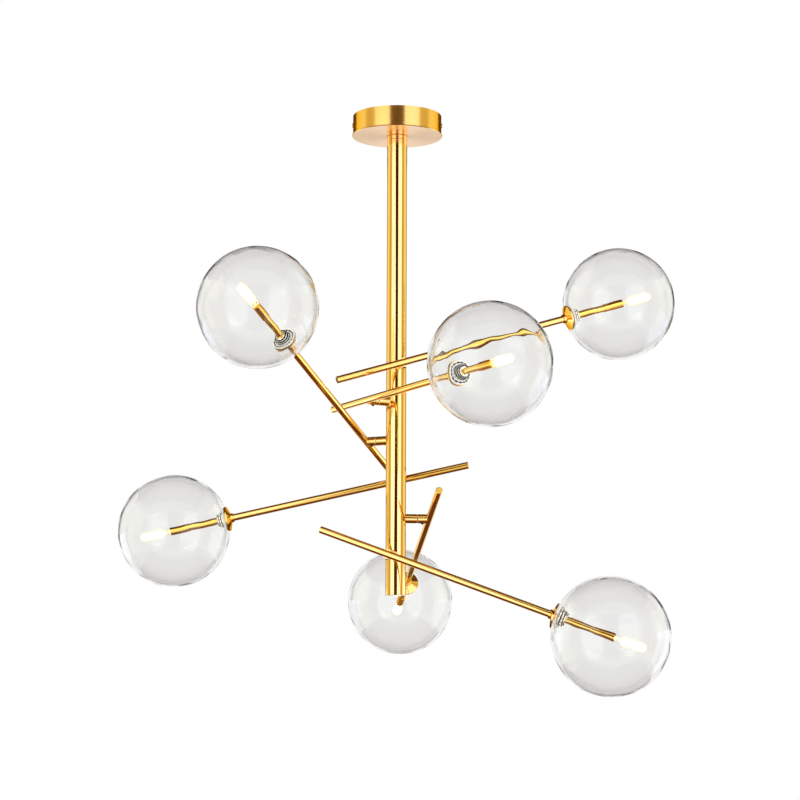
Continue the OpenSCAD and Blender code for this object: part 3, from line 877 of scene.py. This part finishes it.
print("arms")
for index, joint in enumerate(joints):
    number = index + 1
    body = joint["child"]
    place = globePlace(index)
    alongArm = armPlace(index)
    armBrass = drawnFinish("armBrass%d" % number, alongArm, rodLook)
    cupBrass = turnedFinish("cupBrass%d" % number, alongArm, turnedLook)
    chrome = ringNutFinish("nutChrome%d" % number, alongArm, chromeLook, ringNut)
    silicone = siliconeFinish("clearSilicone%d" % number, alongArm, siliconeLook)
    paint("rod_%d" % number, armBrass)
    paint("swivel_%d" % number, armBrass)
    paint("cup_%d" % number, cupBrass)
    paint("holder_%d" % number, cupBrass)
    paint("seals_%d" % number, silicone)
    addGlobe(number, body, place)
    addRingNut(number, body, place, chrome)
    addLamp(number, body, place, lamp["turns"][index], armBrass)
    addSetScrew(number, body, alongArm)

# Terminal block's screws, one in each well
terminalScrews = {
    "count": 3,
    "pitch": 0.010,
    "radius": 0.0021,
    "length": 0.003,
    "slotWidth": 0.0007,
    "slotDepth": 0.0006,
    "middle": (0, 0.031, -0.0180),
}


def screwRowTree(material):
    sketch, entry = geometryTree("screwRow", {
        "Count": "NodeSocketInt",
        "Pitch": "NodeSocketFloat",
        "Radius": "NodeSocketFloat",
        "Length": "NodeSocketFloat",
        "Slot Width": "NodeSocketFloat",
        "Slot Depth": "NodeSocketFloat",
    })
    step = sketch.add("ShaderNodeCombineXYZ", {}, {"X": entry.other("Pitch")})
    startX = (entry.other("Count") - 1) * entry.other("Pitch") * -0.5
    start = sketch.add("ShaderNodeCombineXYZ", {}, {"X": startX})
    row = sketch.add("GeometryNodeMeshLine", {"mode": "OFFSET"}, {
        "Count": entry.other("Count"), "Start Location": start, "Offset": step,
    })
    head = sketch.add("GeometryNodeMeshCylinder", {}, {
        "Vertices": 24, "Radius": entry.other("Radius"), "Depth": entry.other("Length"),
    })
    slotSize = sketch.add("ShaderNodeCombineXYZ", {}, {
        "X": entry.other("Pitch"), "Y": entry.other("Slot Width"), "Z": entry.other("Slot Depth") * 2,
    })
    blade = sketch.add("GeometryNodeMeshCube", {}, {"Size": slotSize})
    top = sketch.add("ShaderNodeCombineXYZ", {}, {"Z": entry.other("Length") * 0.5})
    lifted = sketch.add("GeometryNodeTransform", {}, {"Geometry": blade, "Translation": top})
    cut = sketch.add("GeometryNodeMeshBoolean", {"operation": "DIFFERENCE"}, {
        "Mesh 1": head, "Mesh 2": lifted,
    })
    screws = sketch.add("GeometryNodeInstanceOnPoints", {}, {"Points": row, "Instance": cut})
    return closeTree(sketch, screws, material)


screwRow = runTree("terminalScrews", screwRowTree(zinc), {
    "Count": terminalScrews["count"],
    "Pitch": terminalScrews["pitch"],
    "Radius": terminalScrews["radius"],
    "Length": terminalScrews["length"],
    "Slot Width": terminalScrews["slotWidth"],
    "Slot Depth": terminalScrews["slotDepth"],
}, Matrix.Translation(terminalScrews["middle"]))
dress(screwRow, zinc, "frame", "bracket_steel")

print("studio")
studio = {
    "worldDiffuse": 0.55,
    # Cards that only metal and glass see: bearing from the viewer's side, distance, middle height,
    # width, height, share of the size over which they fade to white, colour as radiance
    "cards": {
        "leftBox": (-35, 2.2, -0.625, 1.88, 2.39, 0.02, (1.9, 2.0, 3.8)),
        "rightBox": (35, 2.2, -0.625, 1.88, 2.39, 0.02, (1.9, 2.0, 4.0)),
        "leftUpperBox": (-38, 2.2, 0.985, 2.1, 0.86, 0.05, (1.35, 1.35, 1.7)),
        "rightUpperBox": (38, 2.2, 0.985, 2.1, 0.86, 0.05, (1.4, 1.5, 2.6)),
        "leftGap": (-74, 2.28, -0.4, 1.45, 3.4, 0.30, (0.68, 0.56, 0.26)),
        "rightGap": (74, 2.28, -0.4, 1.45, 3.4, 0.30, (0.68, 0.56, 0.26)),
        "leftStrip": (-109, 2.35, -0.2, 2.15, 3.6, 0.04, (1.12, 1.1, 0.9)),
        "rightStrip": (109, 2.35, -0.2, 2.15, 3.6, 0.04, (1.12, 1.1, 0.9)),
        "leftLowBox": (-122, 2.2, -1.0, 1.1, 0.9, 0.08, (2.2, 2.3, 3.4)),
        "rightLowBox": (108, 2.2, -1.25, 1.7, 1.5, 0.05, (2.2, 2.3, 3.4)),
        "frontFlag": (0, 1.9, -0.06, 1.20, 1.22, 0.03, (0.05, 0.012, 0.006)),
        "canopyFlag": (0, 1.88, 0.70, 1.36, 0.46, 0.03, (0.15, 0.08, 0.025)),
        "leftEdge": (-142, 2.4, -0.02, 0.66, 1.16, 0.02, (0.06, 0.035, 0.02)),
        "rightEdge": (142, 2.4, -0.02, 0.66, 1.16, 0.02, (0.06, 0.035, 0.02)),
        "leftCanopyEdge": (-154, 2.4, 0.65, 2.0, 0.26, 0.06, (0.13, 0.07, 0.035)),
        "rightCanopyEdge": (154, 2.4, 0.65, 2.0, 0.26, 0.06, (0.13, 0.07, 0.035)),
    },
    # Level cards above and below, from over the rods to far behind: front edge, back edge, height, width,
    # colour, and the grey that they have where the globes bend the view towards them
    "levels": {
        "topFlag": (-0.9, 3.0, 1.0, 4.4, (0.12, 0.065, 0.04), (0.72, 0.73, 0.71)),
        "lowFlag": (-0.95, 3.0, -1.95, 3.4, (0.14, 0.045, 0.015), (0.86, 0.86, 0.85)),
    },
    "levelFade": 0.01,
    "insideMost": 2.0,  # most radiance that metal inside the globes meets
    "wallLeast": 0.50,  # least radiance that the globes' own walls mirror
    # Lamps for what isn't shiny: middle, width, height, radiance
    "lamps": {
        "leftLamp": ((-1.5, -1.7, 0.1), 1.0, 1.6, 2.2),
        "rightLamp": ((1.5, -1.7, 0.1), 1.0, 1.6, 2.2),
    },
    "lampsAim": (0, 0, -0.4),
}
pureWhite = (1, 1, 1, 1)

# White where it is seen or mirrored, dimmer as a light
world = bpy.data.worlds.new("studioWorld")
scene.world = world
world.use_nodes = True
sky = Sketch(world.node_tree)
path = sky.add("ShaderNodeLightPath", out="Is Camera Ray")
seen = sky.math("MAXIMUM", path, path.other("Is Glossy Ray"))
seen = sky.math("MAXIMUM", seen, path.other("Is Transmission Ray"))
soft = sky.add("ShaderNodeBackground", {}, {"Color": pureWhite, "Strength": studio["worldDiffuse"]})
white = sky.add("ShaderNodeBackground", {}, {"Color": pureWhite, "Strength": 1.0})
both = sky.add("ShaderNodeMixShader", {}, {0: seen, 1: soft, 2: white})
sky.add("ShaderNodeOutputWorld", {}, {"Surface": both})

# Pale floor that takes the shadow and runs out into white
floorLook = {
    "height": -2.3,
    "size": 60,
    "colour": (0.86, 0.86, 0.86, 1),
    "deepColour": (0.80, 0.80, 0.80, 1),
    "roughness": 0.7,
    "unevenness": 0.1,
    "grainScale": 3,
    "fadeFrom": 1.2,  # distances from the middle
    "fadeTo": 5.0,
}
floorMaterial, ground = newMaterial("paleFloor")
coords = ground.objectCoords()
grain = ground.noise(coords, floorLook["grainScale"], 3)
far = ground.add("ShaderNodeVectorMath", {"operation": "LENGTH"}, {0: coords}, "Value")
fade = ground.ramp(far, floorLook["fadeFrom"], floorLook["fadeTo"])
matt = ground.shader({
    "Base Color": ground.mix(grain, floorLook["colour"], floorLook["deepColour"]),
    "Roughness": floorLook["roughness"] + grain * floorLook["unevenness"],
})
bright = ground.add("ShaderNodeEmission", {}, {"Color": pureWhite, "Strength": 1.0})
ground.output(ground.add("ShaderNodeMixShader", {}, {0: fade, 1: matt, 2: bright}))


def stagePlane(name, width, height, place, material):
    mesh = bmesh.new()
    mesh.loops.layers.uv.new("UVMap")
    bmesh.ops.create_grid(mesh, x_segments=1, y_segments=1, size=0.5, calc_uvs=True)
    bmesh.ops.scale(mesh, vec=(width, height, 1), verts=mesh.verts)
    data = bpy.data.meshes.new(name)
    mesh.to_mesh(data)
    mesh.free()
    data.transform(place)
    data.materials.append(material)
    plane = bpy.data.objects.new(name, data)
    scene.collection.objects.link(plane)
    return plane


# A card that fades to the white around it near its edges. Bent by glass alone, the view shows no card,
# only white or the grey that it is given
def cardCloth(name, radiance, fadeShare, bent=(1, 1, 1)):
    material, sketch = newMaterial(name)
    across = sketch.add("ShaderNodeSeparateXYZ", {}, {0: sketch.add("ShaderNodeTexCoord", out="UV")}, "X")
    up = across.other("Y")
    inX = sketch.math("MINIMUM", across, 1 - across)
    inY = sketch.math("MINIMUM", up, 1 - up)
    mask = sketch.ramp(sketch.math("MINIMUM", inX, inY), 0.0, fadeShare)
    # A light path that has passed glass once to three times met a globe's wall, and after that its inside
    route = sketch.add("ShaderNodeLightPath", out="Transmission Depth")
    throughGlass = sketch.math("GREATER_THAN", route, 0.5)
    inGlobe = sketch.math("GREATER_THAN", route, 3.5)
    mirrored = sketch.math("GREATER_THAN", route.other("Glossy Depth"), 0.5)
    red, green, blue = (min(channel, studio["insideMost"]) for channel in radiance)
    wall = min(1.0, max(green, studio["wallLeast"]))
    glazed = sketch.mix(inGlobe, (wall, wall, wall, 1), (red, green, min(green, blue), 1))
    direct = sketch.mix(throughGlass, (*radiance, 1), glazed)
    shade = sketch.mix(mask, pureWhite, sketch.mix(mirrored, (*bent, 1), direct))
    sketch.output(sketch.add("ShaderNodeEmission", {}, {"Color": shade}))
    return material


def hideFromEye(plane):
    plane.visible_camera = False
    plane.visible_diffuse = False
    plane.visible_shadow = False


floorPlace = Matrix.Translation((0, 0, floorLook["height"]))
stagePlane("floor", floorLook["size"], floorLook["size"], floorPlace, floorMaterial)

for name, (bearing, distance, middle, width, height, fadeShare, radiance) in studio["cards"].items():
    place = (Matrix.Rotation(math.radians(bearing), 4, "Z")
             @ Matrix.Translation((0, -distance, middle))
             @ Matrix.Rotation(math.radians(-90), 4, "X"))
    hideFromEye(stagePlane(name, width, height, place, cardCloth(name + "Cloth", radiance, fadeShare)))

for name, (front, back, level, width, radiance, bent) in studio["levels"].items():
    place = Matrix.Translation((0, (front + back) / 2, level))
    cloth = cardCloth(name + "Cloth", radiance, studio["levelFade"], bent)
    hideFromEye(stagePlane(name, width, back - front, place, cloth))

for name, (middle, width, height, radiance) in studio["lamps"].items():
    light = bpy.data.lights.new(name, "AREA")
    light.shape = "RECTANGLE"
    light.size = width
    light.size_y = height
    light.energy = radiance * math.pi * width * height
    lightObject = bpy.data.objects.new(name, light)
    way = (Vector(studio["lampsAim"]) - Vector(middle)).normalized()
    lightObject.matrix_world = Matrix.Translation(middle) @ way.to_track_quat("-Z", "Y").to_matrix().to_4x4()
    lightObject.visible_camera = False
    lightObject.visible_glossy = False
    scene.collection.objects.link(lightObject)

print("camera")
view = {
    "place": (0, -2.9723, -0.8104),
    "pitch": 7.69,
    "roll": 0.22,
    "lens": 96.12,
    "sensor": 36,
    "shiftX": 0.00476,
    "shiftY": 0.0006,
}
lens = bpy.data.cameras.new("camera")
lens.lens = view["lens"]
lens.sensor_width = view["sensor"]
lens.shift_x = view["shiftX"]
lens.shift_y = view["shiftY"]
camera = bpy.data.objects.new("camera", lens)
camera.matrix_world = (Matrix.Translation(view["place"])
                       @ Matrix.Rotation(math.radians(90 + view["pitch"]), 4, "X")
                       @ Matrix.Rotation(math.radians(view["roll"]), 4, "Z"))
scene.collection.objects.link(camera)
scene.camera = camera
scene.view_settings.view_transform = "Standard"
